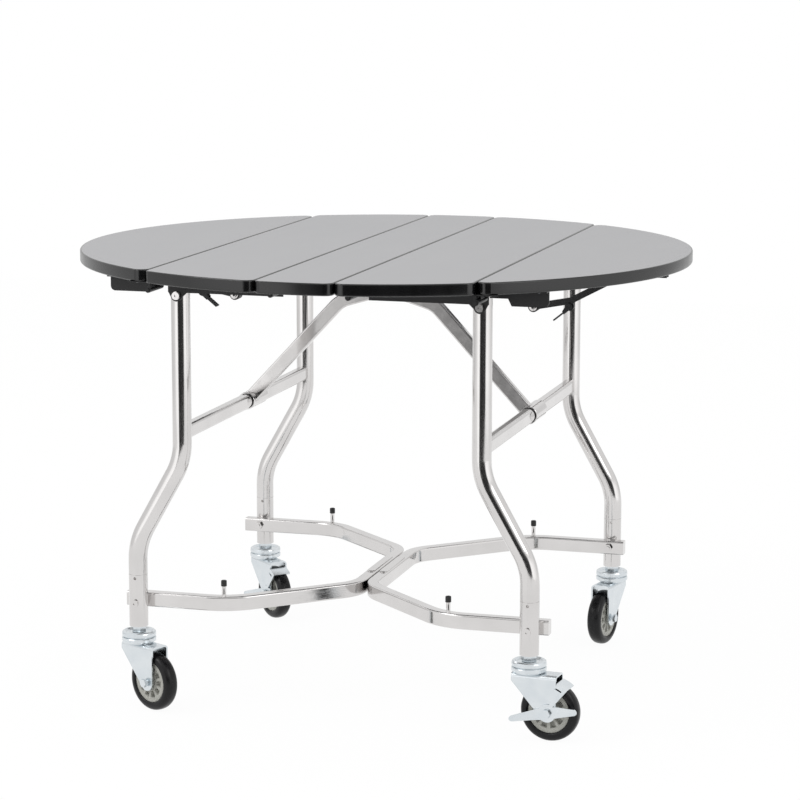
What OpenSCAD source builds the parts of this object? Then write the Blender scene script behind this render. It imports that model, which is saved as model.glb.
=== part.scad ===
// Folding room service table: a round top of five planks on two leg frames with casters.
// Origin on the floor under the middle of the top, X across the planks, Y along them, Z up.

/* [Table top] */
// Diameter of the round top
top_d = 1060; // [1000:10:1100]
// Height of the top surface above the floor
top_h = 762; // [755:1:775]
// Thickness of each plank
board_t = 20; // [18:1:24]
// Half the width of the middle plank, out to its seams
seam_in = 65; // [62:1:70]
// Distance from the middle to the outer seams
seam_out = 273.5; // [272:0.5:280]
// Gap between two planks
seam_gap = 1.6; // [1:0.2:2.4]
// Radius of the planks' corners at the seams
corner_r = 15; // [8:1:20]

/* [Hinges under the seams] */
// Depth of the hinge pins below the underside of the planks
pin_drop = 13; // [12:0.5:14]
// Diameter of the hinge pins
pin_d = 5; // [4:0.5:6]
// Diameter of the hinge knuckles
knuckle_d = 10; // [9:0.5:11]
// Length of one hinge along its seam
hinge_l = 60; // [45:5:70]
// Thickness of the hinge leaves
hinge_t = 2; // [1.5:0.5:3]

/* [Rails] */
// Depth of the black angle rails
rail_h = 28; // [26:1:32]
// Thickness of the rails
rail_t = 3; // [2:0.5:3.5]
// Width of the rails' flange under the planks
rail_w = 20; // [16:1:24]
// Distance of the leaf rails' ends from the left and right of the rim
rail_in = 158; // [150:1:170]

/* [Legs] */
// Diameter of the round posts
post_d = 32; // [30:1:34]
// Distance of the posts from the outer seams, across the planks
post_seam = 15.5; // [12:0.5:17]
// Distance of the posts from the ends of the outer seams, along the planks
post_in = 122; // [118:1:130]
// Sideways offset of the lower part of a post
kink_off = 82; // [70:1:90]
// Height where the post starts to lean outward
kink_top = 430; // [420:1:440]
// Height where the post stands upright again
kink_low = 284; // [275:1:295]
// Bending radius of the posts
bend_r = 110; // [90:5:130]
// Height of the lower end of the posts
post_low = 140; // [139:1:144]
// Depth of the pivot bolts at the tops of the posts, below the underside of the planks
bolt_drop = 33; // [31:1:34]
// Diameter of the pivot bolts
bolt_d = 8; // [6:1:10]
// Height of the crossbar's middle
bar_z = 476; // [470:1:485]
// Height of the crossbar's flat oval section
bar_h = 28; // [24:1:30]
// Width of the crossbar's flat oval section
bar_w = 20; // [18:1:22]

/* [Braces] */
// Width of each brace along the planks
brace_w = 76; // [60:2:80]
// Middle of the braces along the planks
brace_y = 30; // [28:1:36]
// Thickness of the braces
brace_t = 3; // [2.5:0.5:4]
// Depth of the point where the braces meet, below the underside of the planks
apex_drop = 71; // [66:1:74]
// Distance of the bend in a brace from the middle
brace_bend = 71; // [66:1:76]

/* [Base] */
// Height of the pivot bolts of the base frames
base_z = 181; // [178:1:186]
// Height of the base bars
base_h = 25; // [20:1:28]
// Width of the base bars
base_w = 20; // [16:1:24]
// Distance from the middle where the base bars bend inward
bend_x = 186; // [175:1:195]
// Half the length of the middle stretch of a base frame
mid_y = 138; // [125:1:145]
// Gap between the two base frames on each side of the middle
base_gap = 1.2; // [1.2:0.1:3]
// Distance of the locating pegs from the middle, across the planks
peg_x = 196; // [190:1:215]
// Diameter of the locating pegs
peg_d = 8; // [6:1:10]
// Height of the pegs above the base bars
peg_h = 28; // [20:1:34]
// Diameter of the rubber caps on the pegs
cap_d = 12; // [11:1:14]

/* [Leaf stays] */
// Middle of the stays along the planks
stay_y = -22; // [-26:1:-22]
// Distance of the stay's pivot from the outer seam
ear_in = 3.5; // [2.5:0.5:5]
// Depth of the stay's pivot below the underside of the planks
ear_drop = 73; // [70:1:76]
// Distance of the stay's roller from the left or right of the rim
roller_in = 100; // [90:1:110]
// Thickness of the stay's arm
arm_t = 8; // [6:1:9]

/* [Casters] */
// Diameter of the wheels
wheel_d = 100; // [96:1:100]
// Width of the tyres
wheel_w = 26; // [22:1:28]
// Trail of the wheel axle behind the swivel axis
trail = 38; // [34:1:40]
// Turn of the front left caster
yaw_fl = -28; // [-180:1:180]
// Turn of the front right caster
yaw_fr = -6; // [-180:1:180]
// Turn of the back left caster
yaw_bl = -43; // [-180:1:180]
// Turn of the back right caster
yaw_br = -102; // [-180:1:180]

/* [Hidden] */
$fn = 64;
run = 0.08;                       // running clearance of a pin in its bore, on the radius
seat = 0.3;                       // clearance between pieces that nearly touch
top_r = top_d / 2;
under = top_h - board_t;          // underside of the planks
seam_end = sqrt(pow(top_r, 2) - pow(seam_out, 2));
post_x = seam_out - post_seam;
post_y = seam_end - post_in;
ear_x = seam_out - ear_in;
rail_reach = top_r - rail_in;
roller_x = top_r - roller_in;
pin_z = under - pin_drop;
top_bolt_z = under - bolt_drop;
apex_z = under - apex_drop;
ear_z = under - ear_drop;
hinge_end = seam_end - hinge_l / 2 - 14;
hinge_ys = [-hinge_end, -0.415 * hinge_end, 0.415 * hinge_end, hinge_end];
post_r = post_d / 2;
rail_y = post_y + post_r + 0.5;   // inner face of the rails beside the posts
foot_x = post_x + kink_off;
bar_y = post_y - post_r - 0.6 - base_w / 2;
peg_y = bar_y;
journal_r = bar_w / 2 + 1;
bush_r = journal_r + 2;
sleeve_r = bush_r + 2.5;
wheel_r = wheel_d / 2;
crown_z = wheel_d + 4;            // clear of the wheels, below the crown sheet
cup_z = crown_z + 8;              // top of the crown, under the swivel bearing
cup_h = 17.5;                     // height of the recess in the bearing's cap
tip_r = 14.5;                     // rounded ends of the fork's legs, round the axle
fork_y = wheel_w / 2 + 2;         // inner face of the fork's plates
plate_t = 3;
steel = [0.80, 0.80, 0.78];
zinc = [0.78, 0.83, 0.86];
black = [0.09, 0.09, 0.09];
grey = [0.69, 0.69, 0.70];

// Points of a rounded bend at b, coming from a and going on to c
function unit(v) = v / norm(v);
function arc_at(a, b, c, r, n = 8) =
    let (u = unit(a - b), v = unit(c - b), half = acos(u * v) / 2, d = r / tan(half),
         m = b + unit(u + v) * r / sin(half), p = b + u * d, s = atan2((p - m)[1], (p - m)[0]),
         side = cross(u, v) > 0 ? -1 : 1, turn = 180 - 2 * half)
    [for (i = [0:n]) m + r * [cos(s + side * turn * i / n), sin(s + side * turn * i / n)]];

// Direction of a path at point i, and the mitred offset point beside it
function side_of(p, i) = let (d = unit(p[min(i + 1, len(p) - 1)] - p[max(i - 1, 0)])) [-d[1], d[0]];
function mitre(p, i) = i == 0 || i == len(p) - 1 ? 1 :
    cos(acos(min(1, unit(p[i] - p[i - 1]) * unit(p[i + 1] - p[i]))) / 2);
function beside(p, d) = [for (i = [0:len(p) - 1]) p[i] + side_of(p, i) * d / mitre(p, i)];
function reversed(p) = [for (i = [len(p) - 1:-1:0]) p[i]];

// A strip of the given thickness along a path
module ribbon(p, t) {
    polygon(concat(beside(p, t / 2), reversed(beside(p, -t / 2))));
}

// Places a module on the right, or mirrored on the left
module on(side) {
    if (side < 0) mirror([1, 0, 0]) children();
    else children();
}

// Stands a drawing of the X-Z plane upright, w deep, with its middle at y
module upright(y, w) {
    translate([0, y + w / 2, 0]) rotate([90, 0, 0]) linear_extrude(w) children();
}

// A round bar along Y
module rod_y(x, y0, y1, z, r) {
    translate([x, y1, z]) rotate([90, 0, 0]) cylinder(r = r, h = y1 - y0);
}

// Outline of a plank between two seams, with its corners rounded
module plank_outline(x0, x1) {
    intersection() {
        circle(r = top_r, $fn = 180);
        translate([x0, -top_r - 5]) square([x1 - x0, top_d + 10]);
    }
}
module corner_cut(x, dir) {
    // The rim and the seam side meet in a corner that a tangent circle rounds off
    cx = x + dir * corner_r;
    cy = sqrt(pow(top_r - corner_r, 2) - cx * cx);
    rx = cx * top_r / (top_r - corner_r);
    ry = cy * top_r / (top_r - corner_r);
    for (s = [-1, 1]) scale([1, s]) difference() {
        polygon([[x - dir * 0.5, cy], [cx, cy], [rx, ry], [rx, ry + 40], [x - dir * 0.5, ry + 40]]);
        translate([cx, cy]) circle(r = corner_r);
    }
}
module plank(x0, x1, cut0 = true, cut1 = true) {
    color(grey) translate([0, 0, under]) linear_extrude(board_t) difference() {
        plank_outline(x0, x1);
        if (cut0) corner_cut(x0, 1);
        if (cut1) corner_cut(x1, -1);
    }
}
module plank_1() { plank(-top_r - 1, -seam_out - seam_gap / 2, cut0 = false); }
module plank_2() { plank(-seam_out + seam_gap / 2, -seam_in - seam_gap / 2); }
module plank_3() { plank(-seam_in + seam_gap / 2, seam_in - seam_gap / 2); }
module plank_4() { plank(seam_in + seam_gap / 2, seam_out - seam_gap / 2); }
module plank_5() { plank(seam_out + seam_gap / 2, top_r + 1, cut1 = false); }

// Leaf of a hinge on the inner side of the seam at x, with the outer knuckles and the pin
module hinge_in(x) {
    third = hinge_l / 3;
    for (y = hinge_ys) translate([x, y, 0]) {
        for (s = [-1, 1]) translate([0, s * third, 0]) {
            rod_y(0, -third / 2, third / 2, pin_z, knuckle_d / 2);
            translate([-4, -third / 2, pin_z]) cube([4 - seam_gap / 4, third, pin_drop]);
        }
        rod_y(0, -hinge_l / 2 - 2, hinge_l / 2 + 2, pin_z, pin_d / 2);
        translate([-34, -hinge_l / 2, under - hinge_t]) cube([34 - seam_gap / 2, hinge_l, hinge_t]);
    }
}
// Leaf on the outer side of the seam, whose middle knuckle turns on the pin
module hinge_out(x) {
    third = hinge_l / 3 - 2 * seat;
    for (y = hinge_ys) translate([x, y, 0]) difference() {
        union() {
            rod_y(0, -third / 2, third / 2, pin_z, knuckle_d / 2);
            translate([seam_gap / 4, -third / 2, pin_z]) cube([4 - seam_gap / 4, third, pin_drop]);
            translate([seam_gap / 2, -hinge_l / 2, under - hinge_t])
                cube([34 - seam_gap / 2, hinge_l, hinge_t]);
        }
        rod_y(0, -hinge_l, hinge_l, pin_z, pin_d / 2 + run);
    }
}
module hinges_middle() { color(black) for (s = [-1, 1]) on(s) hinge_in(seam_in); }
module hinges_inner(s) {
    color(black) on(s) {
        hinge_out(seam_in);
        hinge_in(seam_out);
    }
}
module hinges_leaf(s) { color(black) on(s) hinge_out(seam_out); }
module hinges_inner_left() { hinges_inner(-1); }
module hinges_inner_right() { hinges_inner(1); }
module hinges_leaf_left() { hinges_leaf(-1); }
module hinges_leaf_right() { hinges_leaf(1); }

// Angle rail under an inner plank, with the bracket that carries the top of a post
module rail(s, f) {
    x0 = seam_in + 8;
    x1 = seam_out - 1;
    color(black) on(s) scale([1, f, 1]) difference() {
        union() {
            translate([x0, rail_y, under - rail_h]) cube([x1 - x0, rail_t, rail_h]);
            translate([x0, rail_y, under - rail_t]) cube([x1 - x0, rail_t + rail_w, rail_t]);
            upright(rail_y + rail_t / 2, rail_t) {
                translate([post_x, top_bolt_z]) circle(r = bolt_d / 2 + 6);
                polygon([[post_x - 20, under - rail_h + 2], [post_x - bolt_d / 2 - 5.5, top_bolt_z - 3],
                    [post_x + bolt_d / 2 + 5.5, top_bolt_z - 3], [x1, under - rail_h + 2]]);
            }
        }
        rod_y(post_x, rail_y - 5, rail_y + 10, top_bolt_z, bolt_d / 2 + run);
    }
}
module rail_front_left() { rail(-1, -1); }
module rail_back_left() { rail(-1, 1); }
module rail_front_right() { rail(1, -1); }
module rail_back_right() { rail(1, 1); }

// Angle rail under a leaf: it passes outside the inner rail as the leaf drops
module leaf_rail(s, f) {
    y = rail_y + rail_t + 0.8;
    x0 = seam_out + seam_gap;
    low = under - rail_h;
    color(black) on(s) scale([1, f, 1]) {
        upright(y + rail_t / 2, rail_t) difference() {
            polygon([[x0, under], [rail_reach, under], [rail_reach, low], [x0 + 36, low],
                [x0 + 30, pin_z - 3], [x0, pin_z - 3]]);
            difference() {
                translate([rail_reach - 8, low - 1]) square([9, 9]);
                translate([rail_reach - 8, low + 8]) circle(r = 8);
            }
        }
        translate([x0, y + rail_t, under - rail_t]) cube([rail_reach - x0, rail_w - 4, rail_t]);
    }
}
module leaf_rail_front_left() { leaf_rail(-1, -1); }
module leaf_rail_back_left() { leaf_rail(-1, 1); }
module leaf_rail_front_right() { leaf_rail(1, -1); }
module leaf_rail_back_right() { leaf_rail(1, 1); }

// Bend of a post: it laps a degree into the straight pieces at both ends
kink_a = atan2(kink_off, kink_top - kink_low);
bend_l = bend_r * tan(kink_a / 2);
module bend(r) {
    rotate([90, 0, 0]) rotate([0, 0, -1]) rotate_extrude(angle = kink_a + 2)
        translate([bend_r, 0]) circle(r = r - 0.05);
}
module post(s, f) {
    lean_l = norm([kink_off, kink_top - kink_low]) - 2 * bend_l;
    swage = base_z + 50;
    color(steel) on(s) translate([0, f * post_y, 0]) difference() {
        union() {
            translate([post_x, 0, kink_top + bend_l])
                cylinder(r = post_r, h = top_bolt_z + 18 - kink_top - bend_l);
            translate([post_x + bend_r, 0, kink_top + bend_l]) rotate([0, 180, 0]) bend(post_r);
            translate([post_x, 0, kink_top]) rotate([0, 180 - kink_a, 0])
                translate([0, 0, bend_l]) cylinder(r = post_r, h = lean_l);
            translate([foot_x - bend_r, 0, kink_low - bend_l]) bend(post_r);
            translate([foot_x, 0, swage]) cylinder(r = post_r, h = kink_low - bend_l - swage);
            translate([foot_x, 0, swage - 1.5]) cylinder(r = post_r - 1, h = 1.5);
            translate([foot_x, 0, post_low]) cylinder(r = post_r, h = swage - 1.5 - post_low);
        }
        rod_y(post_x, -30, 30, top_bolt_z, bolt_d / 2 + run);
        rod_y(foot_x, -30, 30, base_z, bolt_d / 2 + run);
        rod_y(foot_x, -30, 30, swage - 7, 2.5);
        translate([foot_x, 0, post_low - 1]) cylinder(r = 6.05, h = 31);
    }
}
module post_front_left() { post(-1, -1); }
module post_back_left() { post(-1, 1); }
module post_front_right() { post(1, -1); }
module post_back_right() { post(1, 1); }

// Flat oval crossbar between two posts, with a round journal for the brace
module crossbar(s) {
    j0 = brace_y - brace_w / 2 - 6;
    j1 = brace_y + brace_w / 2 + 6;
    color(steel) on(s) difference() {
        union() {
            for (p = [[-post_y, j0], [j1, post_y]])
                upright((p[0] + p[1]) / 2, p[1] - p[0]) translate([post_x, bar_z]) {
                    square([bar_w, bar_h - bar_w], center = true);
                    for (k = [-1, 1]) translate([0, k * (bar_h - bar_w) / 2]) circle(d = bar_w);
                }
            rod_y(post_x, j0, j1, bar_z, journal_r);
        }
        for (f = [-1, 1]) translate([post_x, f * post_y, bar_z - 50]) cylinder(r = post_r + 0.1, h = 100);
    }
}
module crossbar_left() { crossbar(-1); }
module crossbar_right() { crossbar(1); }

// Black bush round the journal, with a flange at each end of the brace
module brace_bush(s) {
    y0 = brace_y - brace_w / 2;
    y1 = brace_y + brace_w / 2;
    color(black) on(s) difference() {
        union() {
            rod_y(post_x, y0 - 4, y1 + 4, bar_z, bush_r);
            rod_y(post_x, y0 - 4, y0 - seat, bar_z, sleeve_r - 0.5);
            rod_y(post_x, y1 + seat, y1 + 4, bar_z, sleeve_r - 0.5);
        }
        rod_y(post_x, y0 - 10, y1 + 10, bar_z, journal_r + 0.05);
    }
}
module brace_bush_left() { brace_bush(-1); }
module brace_bush_right() { brace_bush(1); }

// Pivot bolts of a leg with their nuts: at the tops of the posts and through the base frame's ends
module bolt(x, z, y_head, y_end, f, washer) {
    scale([1, f, 1]) {
        rod_y(x, y_end - 8, y_head, z, bolt_d / 2);
        translate([x, y_end, z]) rotate([90, 0, 0]) cylinder(r = bolt_d / 2 + 3.5, h = 6, $fn = 6);
        rod_y(x, y_head, y_head + 1.5, z, washer);
        difference() {
            rod_y(x, y_head + 1.5, y_head + 5, z, bolt_d / 2 + 2.5);
            rod_y(x, y_head + 3, y_head + 6, z, bolt_d / 4);
        }
    }
}
module leg_bolts(s) {
    color(steel) on(s) for (f = [-1, 1]) {
        bolt(post_x, top_bolt_z, rail_y + rail_t + 0.3, post_y - post_r - 0.3, f, bolt_d / 2 + 3);
        bolt(foot_x, base_z, post_y + post_r, bar_y - base_w / 2 - 0.5, f, bolt_d / 2 + 1);
    }
}
module leg_bolts_left() { leg_bolts(-1); }
module leg_bolts_right() { leg_bolts(1); }

// Brace: a wide flat bar from a sleeve on the crossbar to the apex, bent near the top
module brace(s) {
    foot = [post_x, bar_z];
    knee = [brace_bend, apex_z - 17];
    d = unit(knee - foot);
    off = [-d[1], d[0]];
    a = foot + off * (sleeve_r - brace_t / 2);
    b = knee + off * (sleeve_r - brace_t / 2);
    c = [2, apex_z];
    color(steel) on(s) difference() {
        union() {
            upright(brace_y, brace_w) ribbon(concat([a], arc_at(a, b, c, 55), [c]), brace_t);
            rod_y(post_x, brace_y - brace_w / 2, brace_y + brace_w / 2, bar_z, sleeve_r);
        }
        rod_y(post_x, brace_y - brace_w, brace_y + brace_w, bar_z, bush_r + run);
    }
}
module brace_left() { brace(-1); }
module brace_right() { brace(1); }

// Base frame: a half-hexagon of rectangular tube with pegs, and a plate on its middle
module base(s) {
    end_x = foot_x + post_r + 12;
    mx = base_gap + base_w / 2;
    path = concat([[end_x, -bar_y]], arc_at([end_x, -bar_y], [bend_x, -bar_y], [mx, -mid_y], 40),
        arc_at([bend_x, -bar_y], [mx, -mid_y], [mx, mid_y], 30),
        arc_at([mx, -mid_y], [mx, mid_y], [bend_x, bar_y], 30),
        arc_at([mx, mid_y], [bend_x, bar_y], [end_x, bar_y], 40), [[end_x, bar_y]]);
    color(steel) on(s) {
        difference() {
            translate([0, 0, base_z - base_h / 2]) linear_extrude(base_h) ribbon(path, base_w);
            for (f = [-1, 1]) {
                rod_y(foot_x, f * bar_y - base_w, f * bar_y + base_w, base_z, bolt_d / 2 + run);
                translate([end_x - 20, f * bar_y - base_w / 2 + 2, base_z - base_h / 2 + 2])
                    cube([30, base_w - 4, base_h - 4]);
            }
        }
        translate([mx, 0, base_z + base_h / 2]) linear_extrude(2) {
            square([base_w - 6, 110], center = true);
            for (k = [-1, 1]) translate([0, k * 55]) circle(d = base_w - 6);
        }
        for (f = [-1, 1]) translate([peg_x, f * peg_y, base_z + base_h / 2])
            cylinder(d = peg_d, h = peg_h - 1.5);
    }
}
module base_left() { base(-1); }
module base_right() { base(1); }

// Rubber caps on the pegs
module peg_caps(s) {
    top = base_z + base_h / 2 + peg_h;
    color(black) on(s) for (f = [-1, 1]) translate([peg_x, f * peg_y, 0]) difference() {
        union() {
            translate([0, 0, top - 10]) cylinder(d = cap_d, h = 9);
            translate([0, 0, top - 1]) cylinder(d1 = cap_d, d2 = cap_d - 2, h = 1, $fn = 64);
        }
        translate([0, 0, top - 11]) cylinder(d = peg_d + 0.1, h = 9.5);
    }
}
module peg_caps_left() { peg_caps(-1); }
module peg_caps_right() { peg_caps(1); }

// Stay: an ear under the inner plank, a bent arm with a roller, and a track under the leaf
ear_gap = arm_t / 2 + 2;
roller_r = 6;
roller_z = under - rail_t - seat - roller_r;
knee_x = ear_x + 63;
knee_z = ear_z + 12;
module stay_ear(s) {
    x0 = ear_x - 34;
    x1 = seam_out - 1;
    color(black) on(s) {
        translate([x0, stay_y - ear_gap - 6, under - rail_t]) cube([x1 - x0, 2 * ear_gap + 12, rail_t]);
        for (k = [-1, 1]) difference() {
            upright(stay_y + k * (ear_gap + 1.5), 3) {
                polygon([[x0, under - 1], [x1, under - 1], [x1, ear_z + 8], [ear_x + 6, ear_z - 6],
                    [ear_x - 7, ear_z - 6]]);
                translate([ear_x, ear_z]) circle(r = 9);
            }
            translate([seam_out - 0.9, stay_y - 30, ear_z + 12]) cube([20, 60, 90]);
        }
    }
    color(steel) on(s) {
        rod_y(ear_x, stay_y - ear_gap - 4, stay_y + ear_gap + 4, ear_z, bolt_d / 2);
        for (k = [-1, 1]) translate([0, stay_y + k * (ear_gap + 4.5), 0])
            rod_y(ear_x, -1.5, 1.5, ear_z, bolt_d / 2 + 2.5);
    }
}
module stay_ear_left() { stay_ear(-1); }
module stay_ear_right() { stay_ear(1); }
lever_x = knee_x - 1;
lever_z = knee_z - 9;
module stay_arm(s) {
    color(black) on(s) difference() {
        union() {
            upright(stay_y, arm_t) {
                ribbon([[ear_x, ear_z], [knee_x, knee_z], [roller_x, roller_z]], 11);
                translate([ear_x, ear_z]) circle(r = 9);
                translate([lever_x, lever_z]) circle(r = 8);
                translate([roller_x, roller_z]) circle(r = 5.2);
            }
            rod_y(roller_x, stay_y - ear_gap + 0.6, stay_y + ear_gap - 0.6, roller_z, roller_r);
            rod_y(lever_x, stay_y - 7.4, stay_y + 7.4, lever_z, 2.5);
        }
        rod_y(ear_x, stay_y - 20, stay_y + 20, ear_z, bolt_d / 2 + run);
    }
}
module stay_arm_left() { stay_arm(-1); }
module stay_arm_right() { stay_arm(1); }
module stay_lever(s) {
    w = arm_t + 2 * seat + 6;
    color(black) on(s) difference() {
        union() {
            for (k = [-1, 1]) upright(stay_y + k * (arm_t / 2 + seat + 1.5), 3) {
                translate([lever_x, lever_z]) circle(r = 5.5);
                polygon([[lever_x - 5, lever_z + 2], [lever_x + 4, lever_z - 3], [lever_x - 9, lever_z - 14],
                    [lever_x - 12, lever_z - 9]]);
            }
            upright(stay_y, w) ribbon([[lever_x - 7.5, lever_z - 9.2], [lever_x - 27, lever_z - 25]], 2.6);
        }
        rod_y(lever_x, stay_y - 20, stay_y + 20, lever_z, 2.5 + run);
    }
}
module stay_lever_left() { stay_lever(-1); }
module stay_lever_right() { stay_lever(1); }
module stay_track(s) {
    x0 = roller_x - 30;
    color(black) on(s) {
        translate([x0, stay_y - ear_gap - 3, under - rail_t]) cube([100, 2 * ear_gap + 6, rail_t]);
        for (k = [-1, 1]) translate([x0, stay_y + k * (ear_gap + 1.5) - 1.5, under - 15])
            cube([100, 3, 14]);
    }
}
module stay_track_left() { stay_track(-1); }
module stay_track_right() { stay_track(1); }

// Casters: stem with its nut, swivelling fork, wheel, brake
module caster_stems(s) {
    color(zinc) on(s) for (f = [-1, 1]) translate([foot_x, f * post_y, 0]) {
        translate([0, 0, crown_z + 1]) cylinder(r = 6, h = post_low + 28 - crown_z - 1);
        translate([0, 0, cup_z + cup_h]) cylinder(r = 12.5, h = post_low - cup_z - cup_h, $fn = 6);
    }
}
module caster_stems_left() { caster_stems(-1); }
module caster_stems_right() { caster_stems(1); }

// Section of the bent sheet of a fork: w is half its width, r the bend's outer radius
module sheet_u(w, top, r) {
    translate([-w, 0]) square([2 * w, top - r]);
    translate([-w + r, 0]) square([2 * w - 2 * r, top]);
    for (k = [-1, 1]) translate([k * (w - r), top - r]) circle(r = r);
}
// Side view of a fork: straight edges that run on to the rounded end round the axle
module fork_side() {
    p = [-25, crown_z - 5];
    c = [trail, wheel_r];
    g = atan2(c[1] - p[1], c[0] - p[0]) - asin(tip_r / norm(c - p));
    touch = p + sqrt(pow(norm(c - p), 2) - pow(tip_r, 2)) * [cos(g), sin(g)];
    polygon([p, [-25, cup_z + 1], [trail + tip_r, cup_z + 1], [trail + tip_r, wheel_r], c, touch]);
    translate(c) circle(r = tip_r);
}
module fork(s, f, yaw) {
    w = fork_y + plate_t;
    color(zinc) translate([s * foot_x, f * post_y, 0]) rotate([0, 0, yaw]) {
        difference() {
            union() {
                intersection() {
                    upright(0, 2 * w + 2) fork_side();
                    translate([-30, 0, 0]) rotate([90, 0, 90]) linear_extrude(trail + 60) difference() {
                        sheet_u(w, cup_z, 7);
                        translate([0, -1]) sheet_u(fork_y, cup_z - plate_t + 1, 4);
                    }
                }
                translate([0, 0, cup_z - 0.5]) rotate_extrude()
                    polygon([[0, 0], [24.5, 0], [24.5, 1.5], [28, 2], [29, 3], [29, 8], [28, 9.2], [25.5, 9.5],
                        [25.5, 10.7], [28, 11], [28.8, 12], [28.8, 16.5], [28, 18.6], [26, 20], [23.5, 20],
                        [20.5, 17.5], [0, 17.5]]);
            }
            translate([0, 0, crown_z - 5]) cylinder(r = 6 + run, h = 60);
        }
        rod_y(trail, -w - 5, w + 5, wheel_r, 4);
        for (k = [-1, 1]) translate([trail, k * (w + 3.5), wheel_r]) rotate([k * -90, 0, 0])
            cylinder(r = 7.5, h = 5, $fn = 6);
    }
}
module wheel_at(s, f, yaw) {
    translate([s * foot_x, f * post_y, 0]) rotate([0, 0, yaw]) translate([trail, 0, wheel_r])
        rotate([90, 0, 0]) children();
}
rim_r = wheel_r - 15;
module tyre() {
    w = wheel_w / 2;
    color([0.2, 0.2, 0.22]) rotate_extrude($fn = 96)
        polygon([[rim_r + 0.05, -w + 2], [wheel_r - 7, -w], [wheel_r - 3, -w + 1.5], [wheel_r - 0.8, -w / 2],
            [wheel_r, 0], [wheel_r - 0.8, w / 2], [wheel_r - 3, w - 1.5], [wheel_r - 7, w],
            [rim_r + 0.05, w - 2]]);
}
module hub() {
    w = wheel_w / 2;
    color([0.6, 0.6, 0.58]) difference() {
        rotate_extrude($fn = 96)
            polygon([[4 + run, -fork_y + 0.4], [9, -fork_y + 0.4], [9, -w + 4], [rim_r - 5, -w + 4],
                [rim_r - 3, -w + 2], [rim_r, -w + 2], [rim_r, w - 2], [rim_r - 3, w - 2], [rim_r - 5, w - 4],
                [9, w - 4], [9, fork_y - 0.4], [4 + run, fork_y - 0.4]]);
        for (i = [0:9], k = [-1, 1]) rotate(36 * i) translate([rim_r - 12, 0, k * w - 7])
            cylinder(r = 4.8, h = 14);
    }
}
// Brake: a pedal with two wings bent outward turns on the axle and carries a curved shoe over the tyre
module brake(s, f, yaw) {
    t = 2.6;
    y0 = fork_y + plate_t + seat;
    r0 = wheel_r + 1.5;
    color(zinc) wheel_at(s, f, yaw) difference() {
        union() {
            intersection() {
                translate([0, 0, y0 - 2]) linear_extrude(40) rotate(11) {
                    circle(r = 15);
                    polygon([[-56, -5], [-14, -9.5], [14, -9.5], [51, -5],
                        [51, 5], [14, 9.5], [-14, 9.5], [-56, 5]]);
                    for (x = [-56, 51]) translate([x, 0]) circle(r = 5);
                }
                translate([0, 40, 0]) rotate([90, 0, 0]) linear_extrude(80)
                    ribbon([[-70, y0 + 20], [-18, y0 + t / 2], [18, y0 + t / 2], [70, y0 + 20]], t);
            }
            translate([0, 0, y0]) linear_extrude(t) {
                sector(0, 44, 50, 74);
                sector(42, r0 + 1, 50, 57);
                sector(r0 - 5, r0 + 3, 50, 72);
            }
            translate([0, 0, -wheel_w / 2 - 1]) linear_extrude(wheel_w / 2 + 1 + y0 + t)
                sector(r0, r0 + 3, 50, 72);
        }
        translate([0, 0, -60]) cylinder(r = 4 + run, h = 120);
    }
}
// Part of a ring, or of a disc, between two angles
module sector(r_in, r_out, a0, a1) {
    intersection() {
        difference() {
            circle(r = r_out);
            if (r_in > 0) circle(r = r_in);
        }
        polygon([[0, 0], 90 * [cos(a0), sin(a0)], 90 * [cos(a1), sin(a1)]]);
    }
}
module fork_front_left() { fork(-1, -1, yaw_fl); }
module fork_front_right() { fork(1, -1, yaw_fr); }
module fork_back_left() { fork(-1, 1, yaw_bl); }
module fork_back_right() { fork(1, 1, yaw_br); }
module tyre_front_left() { wheel_at(-1, -1, yaw_fl) tyre(); }
module tyre_front_right() { wheel_at(1, -1, yaw_fr) tyre(); }
module tyre_back_left() { wheel_at(-1, 1, yaw_bl) tyre(); }
module tyre_back_right() { wheel_at(1, 1, yaw_br) tyre(); }
module hub_front_left() { wheel_at(-1, -1, yaw_fl) hub(); }
module hub_front_right() { wheel_at(1, -1, yaw_fr) hub(); }
module hub_back_left() { wheel_at(-1, 1, yaw_bl) hub(); }
module hub_back_right() { wheel_at(1, 1, yaw_br) hub(); }
module brake_front_right() { brake(1, -1, yaw_fr); }
module brake_back_left() { brake(-1, 1, yaw_bl); }

plank_1();
plank_2();
plank_3();
plank_4();
plank_5();
hinges_middle();
hinges_inner_left();
hinges_inner_right();
hinges_leaf_left();
hinges_leaf_right();
rail_front_left();
rail_back_left();
rail_front_right();
rail_back_right();
leaf_rail_front_left();
leaf_rail_back_left();
leaf_rail_front_right();
leaf_rail_back_right();
post_front_left();
post_back_left();
post_front_right();
post_back_right();
crossbar_left();
crossbar_right();
brace_bush_left();
brace_bush_right();
leg_bolts_left();
leg_bolts_right();
brace_left();
brace_right();
base_left();
base_right();
peg_caps_left();
peg_caps_right();
stay_ear_left();
stay_ear_right();
stay_arm_left();
stay_arm_right();
stay_lever_left();
stay_lever_right();
stay_track_left();
stay_track_right();
caster_stems_left();
caster_stems_right();
fork_front_left();
fork_front_right();
fork_back_left();
fork_back_right();
tyre_front_left();
tyre_front_right();
tyre_back_left();
tyre_back_right();
hub_front_left();
hub_front_right();
hub_back_left();
hub_back_right();
brake_front_right();
brake_back_left();
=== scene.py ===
# %% [markdown]
# # A folding room service table
# The table has a round top of five planks, two leg frames of polished tube, a low base frame and
# four casters. The CAD model gives every piece its exact place. This script dresses it: it gives each
# piece the finish of its real material, and swaps a few pieces for fuller ones, such as the planks
# with their moulded edge band and the tyres with their rounded tread.
# Everything is in metres. X runs across the planks, Y along them and Z is up.

# %% Load the CAD frame
import math
import bpy
import numpy as np
from mathutils import Matrix, Vector


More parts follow.
